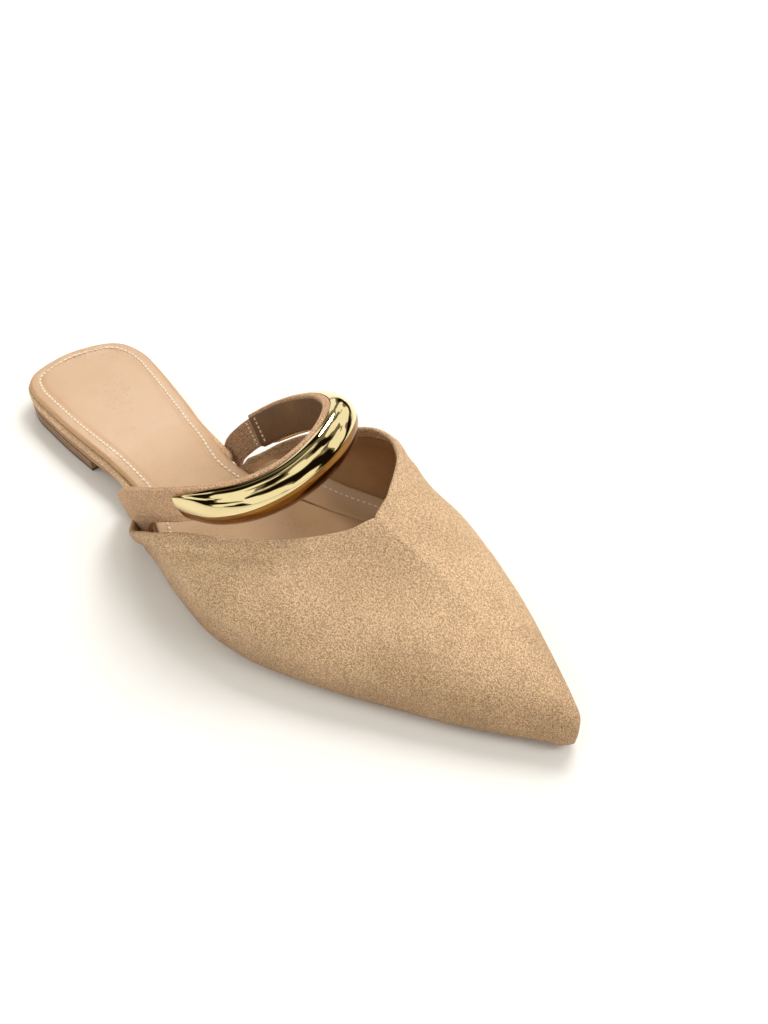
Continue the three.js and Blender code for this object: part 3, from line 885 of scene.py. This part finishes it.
section_lines = {
    -1: (INSTEP_LATERAL_IN, INSTEP_LATERAL_UP, TOE_LATERAL_IN, top_lateral, lean_lateral),
    1: (INSTEP_MEDIAL_IN, INSTEP_MEDIAL_UP, TOE_MEDIAL_IN, top_medial, lean_medial),
}
print("throat at", round(APEX * LENGTH), "mm from the heel")


# %% One section, from the sole's edge up
def section(share, side, is_open):
    """Fine points of the vamp's outer face at one station."""
    inward_instep, up_instep, inward_toe, top, lean = section_lines[side]
    x, edge_y = edge(np.array(share), side)
    along = x / LENGTH
    base = board_bottom(x)
    lift = lift_medial(along) if side > 0 else 1.0
    height = crest_height(along) * lift * THROAT_HEIGHT - base
    middle = crest_across(along) * BALL_WIDTH
    toward = ease(along, 0.68, 0.93)
    most = float(top(along)) if is_open else 1.0
    t = np.linspace(0, most, 321)
    rise = (up_instep(t) * (1 - toward) + TOE_UP(t) * toward) * height
    inward = inward_instep(t) * (1 - toward) + inward_toe(t) * toward
    fade = 1 - ease(t, 0.55, 1)
    leaning = side * lean(along) * BALL_WIDTH * np.sin(t / most * np.pi / 2) * fade
    y = edge_y + (middle - edge_y) * inward + leaning
    tuck = FEATHER_TUCK * np.maximum(0, 1 - rise / 3.0) ** 2
    y = y - side * np.minimum(tuck, np.abs(y - middle))
    return np.column_stack([np.full(len(t), x), y, base + rise])


def spread_rows(points, rows, fixed, lower):
    """A few rows at fixed distances below the section's top, the rest evenly to the bottom."""
    run = run_along(points)
    total = run[-1] - lower
    near = fixed * min(1.0, total * 0.4 / fixed[-1])
    rest = np.linspace(near[-1], total, rows + 1 - len(near) + 1)[1:]
    return read_at(total - np.concatenate([near, rest])[::-1], run, points)


RIM = WALL / 2
ROWS = 72
FIXED = np.array([0.0, 0.6, 1.2, 1.8, 2.4, 3.0, 3.8])
rear_share, apex_share = share_of(VAMP_REAR * LENGTH), share_of(APEX * LENGTH)
open_stations = np.linspace(rear_share, apex_share, 91)[:-1]
toe_stations = np.linspace(apex_share, 1, 101)
stations = np.concatenate([open_stations, toe_stations])
halves = {}
for side in (-1, 1):
    drawn = []
    for j, share in enumerate(stations):
        is_open = j < len(open_stations)
        lower = RIM * min(1.0, (len(open_stations) - j) / 6) if is_open else 0.0
        drawn.append(spread_rows(section(share, side, is_open), ROWS, FIXED, lower))
    halves[side] = np.array(drawn)
print("half sections", halves[-1].shape)

# %% [markdown]
# ## One skin
# In front of the throat the two halves meet at the spine, and at the toe they close. We could leave
# two halves with a seam, but the real vamp has none, so they share their points there.

# %% Join the two halves at the spine and the toe
OPEN = len(open_stations)
STATIONS = len(stations)
number = {side: np.zeros((STATIONS, ROWS + 1), int) for side in (-1, 1)}
outer = []
for side in (-1, 1):
    for j in range(STATIONS):
        for k in range(ROWS + 1):
            shared = side > 0 and ((j >= OPEN and k == ROWS) or j == STATIONS - 1)
            if shared:
                number[side][j, k] = number[-1][j, k]
            else:
                number[side][j, k] = len(outer)
                outer.append(halves[side][j, k])
outer = np.array(outer)
shell_faces = grid_faces(number[-1][:, ::-1]) + grid_faces(number[1])
print("outer face", len(outer), "points")


# %% Which way each point faces
def facing(points, faces):
    normal = np.zeros_like(points)
    for face in faces:
        a, b, c = points[face[0]], points[face[1]], points[face[2]]
        across = np.cross(b - a, c - a)
        if len(face) == 4:
            across = across + np.cross(c - a, points[face[3]] - a)
        for v in face:
            normal[v] += across
    return normal / np.maximum(np.linalg.norm(normal, axis=1, keepdims=True), 1e-12)


normals = facing(outer, shell_faces)
if normals[number[-1][OPEN // 2, ROWS // 3]][1] > 0:
    normals = -normals
    shell_faces = [face[::-1] for face in shell_faces]
loop = np.concatenate(
    [
        number[-1][0, :],
        number[-1][1:OPEN, ROWS],
        [number[-1][OPEN, ROWS]],
        number[1][1:OPEN, ROWS][::-1],
        number[1][0, :][::-1],
    ]
)
rim_line = outer[loop]


def nearest(points, line_points):
    """The distance from each point to the closest of a line's points."""
    best = np.full(len(points), 1e9)
    for start in range(0, len(points), 2000):
        gap = points[start : start + 2000, None, :] - line_points[None, :, :]
        best[start : start + 2000] = np.sqrt((gap**2).sum(-1)).min(1)
    return best


from_rim = nearest(outer, rim_line)
print("furthest from the topline", round(float(from_rim.max())), "mm")

# %% [markdown]
# ## Grooves, dents and creases
# The folded edge is glued down a finger's width below the topline, so a soft groove runs along it,
# and the suede gives where a foot has bent it. We could leave this to a noise, but each dent is at
# its own place in the photograph, so each is a trough with its line in the shoe's own millimetres,
# its reach and its depth. Only the last faint ripple is a wave.

# %% Press them into the vamp
TROUGHS = [
    ((150.0, -31.0), (128.0, -39.0), 7.0, 0.55),
    ((198.0, -8.0), (216.0, 0.0), 12.0, 0.3),
    ((176.0, -22.0), (194.0, -15.0), 9.0, 0.22),
    ((222.0, 14.0), (238.0, 14.0), 8.0, 0.22),
    ((193.0, 8.0), (206.0, 6.0), 4.5, 0.12),
]
press = np.zeros(len(outer))
for (x0, y0), (x1, y1), reach, depth in TROUGHS:
    run = np.array([x1 - x0, y1 - y0])
    offset = outer[:, :2] - (x0, y0)
    t = np.clip(offset @ run / (run @ run), 0, 1)
    gap = np.linalg.norm(offset - t[:, None] * run, axis=1)
    press += depth * np.exp(-((gap / reach) ** 2))
lateral_half = outer[:, 1] < crest_across(outer[:, 0] / LENGTH) * BALL_WIDTH
along_groove = np.where(lateral_half, 1.0, 0.45) * (1 - ease(outer[:, 0], 168, 196))
along_groove *= ease(outer[:, 0], 104, 112)
GROOVE_BELOW_RIM = 5.6
ROLL_BELOW_RIM = 2.6
groove = 0.62 * np.exp(-(((from_rim - GROOVE_BELOW_RIM) / 1.5) ** 2))
roll = 0.22 * np.exp(-(((from_rim - ROLL_BELOW_RIM) / 1.6) ** 2))
ripple = 0.10 * np.sin(outer[:, 0] * 0.21 + outer[:, 1] * 0.13) * ease(from_rim, 4, 16)
above_sole = outer[:, 2] - board_bottom(outer[:, 0])
ripple *= ease(above_sole, 2, 9)
moved_out = (roll - groove) * along_groove - press + ripple
shaped = outer + normals * moved_out[:, None]
print("deepest press", round(float((press + groove).max()), 2), "mm")

# %% [markdown]
# ## The folded rim
# At the topline the suede turns over the wall's edge and is glued down inside. We could give the
# skin a thickness with a modifier, but its rim would be square, so a half round runs along the
# topline and a strip of suede shows inside. At the sole the skin turns under a little.

# %% Outer face, folded rim and the strip inside
normals = facing(shaped, shell_faces)
inner = shaped - normals * WALL
away = np.cross(unit(np.gradient(shaped[loop], axis=0)), normals[loop])
beside = np.concatenate(
    [
        number[-1][1, :],
        number[-1][1:OPEN, ROWS - 1],
        [number[-1][OPEN + 1, ROWS]],
        number[1][1:OPEN, ROWS - 1][::-1],
        number[1][1, :][::-1],
    ]
)
above = shaped[loop] - shaped[beside]
away = unit(away * np.where((away * above).sum(1) < 0, -1, 1)[:, None])
RIM_STEPS = 9
count = len(shaped)
rim_rows = []
points = [shaped, inner]
total = 2 * count
for step in range(RIM_STEPS + 1):
    angle = np.pi * step / RIM_STEPS
    if step == 0:
        rim_rows.append(loop)
    elif step == RIM_STEPS:
        rim_rows.append(loop + count)
    else:
        bend = normals[loop] * (np.cos(angle) - 1) + away * np.sin(angle)
        points.append(shaped[loop] + bend * RIM)
        rim_rows.append(total + np.arange(len(loop)))
        total += len(loop)
feather = np.concatenate([number[-1][:, 0], number[1][:-1, 0][::-1]])
feather_in = -np.concatenate([outward_of(stations, -1), outward_of(stations, 1)[:-1][::-1]])
feather_rows = [feather]
for inward, drop in ((0.35, 0.16), (1.0, 0.22), (2.2, 0.2)):
    under = shaped[feather].copy()
    under[:, :2] += feather_in * inward
    under[:, 2] -= drop
    points.append(under)
    feather_rows.append(total + np.arange(len(feather)))
    total += len(feather)
FOLD_DEPTH = 3.5
folded = [face for face in shell_faces if from_rim[face].mean() < FOLD_DEPTH]
strip = [[v + count for v in face[::-1]] for face in folded]
points = np.concatenate(points)
faces = shell_faces + grid_faces(np.array(rim_rows)) + grid_faces(np.array(feather_rows)) + strip
put("vamp_suede", points, faces, suede_main, "upper")

# %% [markdown]
# ## The vamp's lining
# Inside, a thinner leather stops a few millimetres short of the topline, where the suede has been
# folded in over it. We could colour the shell's inner face, but the lining has an edge of its own,
# so it is the same shell, further in, with its upper edge laid down on the fold.

# %% Lining
LINING_FROM = 2.7
LINING_TO = 252.0
settle = ease(from_rim, 2.5, 3.4)
lining = shaped - normals * (WALL + 0.03 + 0.27 * settle)[:, None]
lined = (from_rim > LINING_FROM) & (outer[:, 0] < LINING_TO)
lining_faces = [face[::-1] for face in shell_faces if lined[face].all()]
vamp_lining = put("vamp_lining", lining, lining_faces, lining_leather)


def thicken(made, millimetres, offset):
    thickness = made.modifiers.new("thickness", "SOLIDIFY")
    thickness.thickness = millimetres / 1000
    thickness.offset = offset


thicken(vamp_lining, 0.3, -1)

# %% [markdown]
# ## The insole's wing
# On the inner side of the foot the insole doesn't stop at the floor of the shoe: it runs a little
# up the wall in a soft curve and is stitched along its edge. We could bend the flat insole up, but
# the wall's own sections already say where it goes, so the wing is drawn on them.

# %% Wing and its stitches
WING_HEIGHT = 5.4
WING_ROWS = 14
WING_END = 232.0
WING_FOOT = -0.4
SEAM_FROM = 112.0
SEAM_INSET = 2.2


def on_wall(row, heights, clear=0.0):
    """Spots inside the wall at these heights over the insole, and the way they face."""
    above = shaped[row, 2] - sock_top(shaped[row, 0])
    spot = read_at(heights, above, shaped[row])
    inward = -unit(read_at(heights, above, normals[row]) * (1, 1, 0))
    depth = WALL + 0.65 + clear + 6.0 * np.exp(-np.maximum(heights, 0) / 3.0)
    return spot + inward * depth[:, None], inward


wing_points, wing_line, wing_ups = [], [], []
for row in number[1]:
    x = shaped[row[0], 0]
    wall_top = (shaped[row, 2] - sock_top(shaped[row, 0])).max()
    reach = min(WING_HEIGHT * float(ease(x, 98, 128)), wall_top - 4.0)
    if x > WING_END or reach < 0.6:
        continue
    wing_points.append(on_wall(row, np.linspace(WING_FOOT, reach, WING_ROWS))[0])
    if x > SEAM_FROM:
        seam_spot, seam_up = on_wall(row, np.array([reach - SEAM_INSET]), clear=0.05)
        wing_line.append(seam_spot[0])
        wing_ups.append(seam_up[0])
index = np.arange(len(wing_points) * WING_ROWS).reshape(-1, WING_ROWS)
points, faces = np.concatenate(wing_points), grid_faces(index)
thicken(put("insole_wing", points, faces, insole_leather), 0.5, 0)
wing_line, wing_ups = np.array(wing_line), np.array(wing_ups)
spots, runs = walk(wing_line, STITCH_PITCH)
ups = wing_ups[np.abs(wing_line[:, :1] - spots[:, 0]).argmin(0)]
points, faces = capsules(spots, runs, ups, STITCH_LENGTH, STITCH_WIDTH, STITCH_DEPTH)
put("wing_stitches", points, faces, thread.material)

# %% [markdown]
# ## Strap, elastic and bar
# Three pieces share one route over the instep. A route is a smooth curve through a few places, with
# the way that the strap's rear edge points at each. We could bend a flat strip with a curve
# modifier, but a swept section lets the strap, its lining and the bar each have their own profile.
# The strap's outer end is rounded behind and runs wider in front, where it tucks into the vamp.

# %% A route through a table's rows
STRAP_ROUTE = [
    (0.349, -0.391, 0.1, -0.5, 0.0, 0.3), (0.364, -0.422, 0.2, -0.62, -0.05, 0.65),
    (0.403, -0.45, 0.33, -0.62, -0.1, 0.72), (0.445, -0.46, 0.47, -0.55, -0.25, 0.75),
    (0.49, -0.445, 0.6, -0.42, -0.3, 0.8), (0.532, -0.405, 0.7, -0.3, -0.3, 0.86),
    (0.572, -0.33, 0.775, -0.25, -0.2, 0.92), (0.603, -0.22, 0.835, -0.3, -0.15, 0.92),
    (0.62, -0.075, 0.905, -0.38, -0.2, 0.9), (0.617, 0.09, 0.97, -0.45, -0.2, 0.86),
    (0.59, 0.23, 0.98, -0.42, -0.15, 0.88), (0.545, 0.3, 0.89, -0.45, -0.05, 0.86),
    (0.497, 0.315, 0.755, -0.52, 0.0, 0.83), (0.447, 0.3, 0.58, -0.6, 0.05, 0.76),
    (0.402, 0.262, 0.39, -0.66, 0.05, 0.68),
]
ELASTIC_ROUTE = [
    (0.402, 0.262, 0.39, -0.66, 0.05, 0.68), (0.381, 0.236, 0.28, -0.75, 0.03, 0.5),
    (0.365, 0.206, 0.17, -0.85, 0.0, 0.35), (0.359, 0.198, 0.085, -0.95, 0.0, 0.2),
]


def centripetal(rows, at):
    """Points of a smooth curve through the rows; at runs from 0 to 1, equal for each span."""
    rows = np.asarray(rows, float)
    padded = np.concatenate([[2 * rows[0] - rows[1]], rows, [2 * rows[-1] - rows[-2]]])
    spans = len(rows) - 1
    place = np.clip(at, 0, 1) * spans
    i = np.minimum(place.astype(int), spans - 1)
    w = (place - i)[:, None]
    p0, p1, p2, p3 = (padded[i + k] for k in range(4))
    d0, d1, d2 = (
        np.maximum(((b - a) ** 2).sum(1), 1e-12)[:, None] ** 0.25
        for a, b in ((p0, p1), (p1, p2), (p2, p3))
    )
    m1 = ((p1 - p0) / d0 - (p2 - p0) / (d0 + d1) + (p2 - p1) / d1) * d1
    m2 = ((p2 - p1) / d1 - (p3 - p1) / (d1 + d2) + (p3 - p2) / d2) * d1
    square, cube = w**2, w**3
    start = p1 * (2 * cube - 3 * square + 1) + m1 * (cube - 2 * square + w)
    return start + p2 * (3 * square - 2 * cube) + m2 * (cube - square)


def route(rows):
    table = np.array(rows)
    line_rows = table[:, :3] * (LENGTH, BALL_WIDTH, INSTEP_HEIGHT)
    fine = np.linspace(0, 1, 6001)
    line = centripetal(line_rows, fine)
    run = run_along(line)
    run /= run[-1]

    def read(share):
        t = np.interp(share, run, fine)
        spot = centripetal(line_rows, t)
        tangent = unit(centripetal(line_rows, t + 1e-4) - centripetal(line_rows, t - 1e-4))
        back = centripetal(table[:, 3:], t)
        back = unit(back - tangent * (back * tangent).sum(1, keepdims=True))
        return spot, tangent, back, np.cross(tangent, back)

    return read


strap_at = route(STRAP_ROUTE)
elastic_at = route(ELASTIC_ROUTE)
print("strap top at", np.round(strap_at(np.array([0.6]))[0], 1))


# %% A profile carried along a route
def sweep(route_at, profile, shares, width, height, lift=0.0, shift=0.0):
    """profile is (share across, share out); the sizes and shifts may change along the way."""
    spot, _, back, out = route_at(shares)
    across, outward = np.array(profile).T
    width, height, lift, shift = (
        np.broadcast_to(v, len(shares)) for v in (width, height, lift, shift)
    )
    points = (
        spot[:, None, :]
        + back[:, None, :] * (across[None, :] * width[:, None] + shift[:, None])[..., None]
        + out[:, None, :] * (outward[None, :] * height[:, None] + lift[:, None])[..., None]
    )
    return points.reshape(-1, 3), tube_faces(0, *points.shape[:2])


def rounded_band(steps=10, crown=0.0, across_faces=18):
    """A flat band with half-round edges, from its front edge over the outer face and back."""
    points = []
    for i in range(across_faces + 1):
        a = -0.45 + 0.9 * i / across_faces
        points.append((a, crown * (1 - (a / 0.45) ** 2)))
    for i in range(1, steps):
        turn_ = np.pi * i / steps
        points.append((0.45 + 0.05 * np.sin(turn_), -0.5 + 0.5 * np.cos(turn_)))
    for i in range(across_faces + 1):
        points.append((0.45 - 0.9 * i / across_faces, -1.0))
    for i in range(1, steps):
        turn_ = np.pi * i / steps
        points.append((-0.45 - 0.05 * np.sin(turn_), -0.5 - 0.5 * np.cos(turn_)))
    return points


print("a band's profile has", len(rounded_band()), "points")

# %% Strap
strap_shares = np.linspace(0, 1, 361)
corner = 1 - np.clip((strap_shares - 0.05) / 0.13, 0, 1)
rear_half = STRAP_WIDTH / 2 - 4.2 * (1 - np.sqrt(1 - corner**2))
front_half = STRAP_WIDTH / 2 + 1.4 * (1 - ease(strap_shares, 0.25, 0.4))
tucked = ease(strap_shares, 0.01, 0.07) * (1 - ease(strap_shares, 0.09, 0.18))
front_half += 5.0 * tucked
strap_width = rear_half + front_half
strap_shift = (rear_half - front_half) / 2
outer_depth = STRAP - STRAP_LINING
outer_band = rounded_band(crown=0.05)
points, faces = sweep(
    strap_at, outer_band, strap_shares, strap_width, outer_depth, shift=strap_shift
)
put("strap_suede_band", points, faces, suede_strap, "strap", 60)

# %% [markdown]
# ## The strap's inside and edge
# A dark brown leather lines the strap, painted darker still as shade for the shadow under the
# strap, and its rear edge is rolled into a rib. We could paint the inside darker, but the real
# lining has its own edge and soft folds, so it is a thinner band laid inside the first, and the rib
# is a round cord along the edge.

# %% Strap lining, laid on the inside with a rib along the rear edge
fold_wave = 0.16 * np.sin(strap_shares * 95) * ease(strap_shares, 0.45, 0.6)
points, faces = sweep(
    strap_at,
    [(a * 0.88, b) for a, b in rounded_band(crown=0.0)],
    strap_shares,
    strap_width,
    STRAP_LINING - 0.03,
    lift=-(STRAP - STRAP_LINING + 0.01) + fold_wave * 0.4,
    shift=strap_shift - 0.3,
)
put("strap_lining", points, faces, strap_leather_painted_shade, crease=60)

RIB_START = 0.17
RIB_RADIUS = 0.85
rib_shares = strap_shares[strap_shares > RIB_START]
rib_at = {"lift": -1.75, "shift": STRAP_WIDTH / 2 - 0.8}
rib_turn = np.linspace(0, 2 * np.pi, 12, endpoint=False)
rib_round = np.column_stack([np.cos(rib_turn), np.sin(rib_turn)])
points, faces = sweep(strap_at, rib_round, rib_shares, RIB_RADIUS, RIB_RADIUS, **rib_at)
put("strap_rear_rib", points, faces, suede_strap)

# %% Stitches on the strap
STRAP_SEAM_INSET = 1.7
spots, runs, backs, ups = strap_at(np.linspace(0.12, 0.33, 15))
spots = spots + backs * (STRAP_SEAM_INSET - STRAP_WIDTH / 2) + ups * 0.02
points, faces = capsules(spots, runs, ups, 1.5, 0.5, 0.4)
put("strap_stitches", points, faces, suede_strap)

# %% [markdown]
# ## Elastic
# On the inner side a woven elastic joins the strap to the sole. We could use a flat band, but the
# weave has ribs along its length, so its profile is a band with ten small waves. Two rows of cross
# stitches hold it to the strap.

# %% Elastic with its ribs
rib_profile = []
for a, b in rounded_band(across_faces=44, steps=6):
    wave = 0.09 * math.cos(a / 0.9 * 2 * math.pi * 10)
    is_face = b == -1.0 or abs(b) < 1e-6
    rib_profile.append((a, b + wave * is_face))
elastic_shares = np.linspace(0.0, 1, 61)
elastic_lift = -(STRAP - ELASTIC) / 2
points, faces = sweep(
    elastic_at, rib_profile, elastic_shares, ELASTIC_WIDTH, ELASTIC, lift=elastic_lift
)
put("elastic_web", points, faces, elastic_web.material, "strap_elastic", 60)

# %% Cross stitches where the elastic joins the strap
joined = []
elastic_inner = (STRAP + ELASTIC) / 2
for route_at, share, depth in ((strap_at, 0.982, STRAP), (elastic_at, 0.13, elastic_inner)):
    spot, tangent, back, outward = (v[0] for v in route_at(np.array([share])))
    for k in range(6):
        across = (k - 2.5) * 1.65
        for slant in (-0.8, 0.8):
            run = back * math.cos(slant) + tangent * math.sin(slant)
            joined.append((spot + back * across - outward * depth, run, -outward))
spots, runs, ups = (np.array(v) for v in zip(*joined))
points, faces = capsules(spots, runs, ups, 1.5, 0.34, 0.3)
put("cross_stitches", points, faces, thread.material)

# %% [markdown]
# ## The bar
# The bar is a hollow metal dome with a bevel along its front, clipped round the strap. We could
# bend a rounded box, but its section changes towards the blunt ends, so it is swept along the
# strap's own route. The amber band on its bevel is a painted reflection of the dark shoe under it:
# a darker, amber gold laid over the facet.

# %% The bar's profile
BAR_TAPER = [
    (0.0, 0.78, 0.22), (0.05, 0.92, 0.5), (0.13, 1.0, 0.92), (0.2, 1.0, 1.0),
    (0.9, 1.0, 1.0), (0.97, 0.95, 0.72), (1.0, 0.85, 0.4),
]
bar_wide, bar_high = columns(BAR_TAPER)
dome_rows = [
    (-0.23, 0.84), (-0.12, 0.95), (0.0, 1.0), (0.12, 0.995),
    (0.28, 0.89), (0.42, 0.64), (0.49, 0.3), (0.5, 0.0),
]
dome = centripetal(dome_rows, np.linspace(0, 1, 57)).tolist()
front_face = [(-0.485, 0.0), (-0.5, 0.06), (-0.455, 0.3), (-0.38, 0.54), (-0.26, 0.8)]
bar_profile = front_face + dome
bar_shares = np.linspace(0, 1, 361)
BAR_START, BAR_END = 0.32, 0.985
BAR_CREASE = 14


def along_bar(profile):
    return sweep(
        strap_at,
        profile,
        BAR_START + (BAR_END - BAR_START) * bar_shares,
        (BAR_WIDTH + BAR_LIP) * bar_wide(bar_shares),
        BAR_HEIGHT * bar_high(bar_shares),
        lift=GAP,
        shift=-BAR_LIP / 2,
    )


points, faces = along_bar(bar_profile)
put("gold_bar", points, faces, gold.material, "metal_bar", BAR_CREASE)

# %% A painted reflection on the facet under its lower crease
gold_painted_reflection = Finish("gold_painted_reflection")
facet_cloud = gold_painted_reflection.noise(gold_painted_reflection.place(0.12, 0.12, 0.5), 1.0, detail=2.0)
# painted reflection: a dark amber gold standing for the dark shoe mirrored in the bevel
facet_painted_reflection = gold_painted_reflection.blend(facet_cloud, colour(98, 60, 24), colour(168, 120, 58))
gold_painted_reflection.skin(Base_Color=facet_painted_reflection, Metallic=1.0, Roughness=0.12 + facet_cloud * 0.08)
lower_band = front_face + [spot for spot in dome if spot[0] < 0.02]
facet = [(a - 0.004, b + 0.008) for a, b in lower_band]
facet += [(a + 0.006, b - 0.01) for a, b in lower_band[::-1]]
points, faces = along_bar(facet)
put("gold_bar_facet_painted_reflection", points, faces, gold_painted_reflection.material, crease=20)
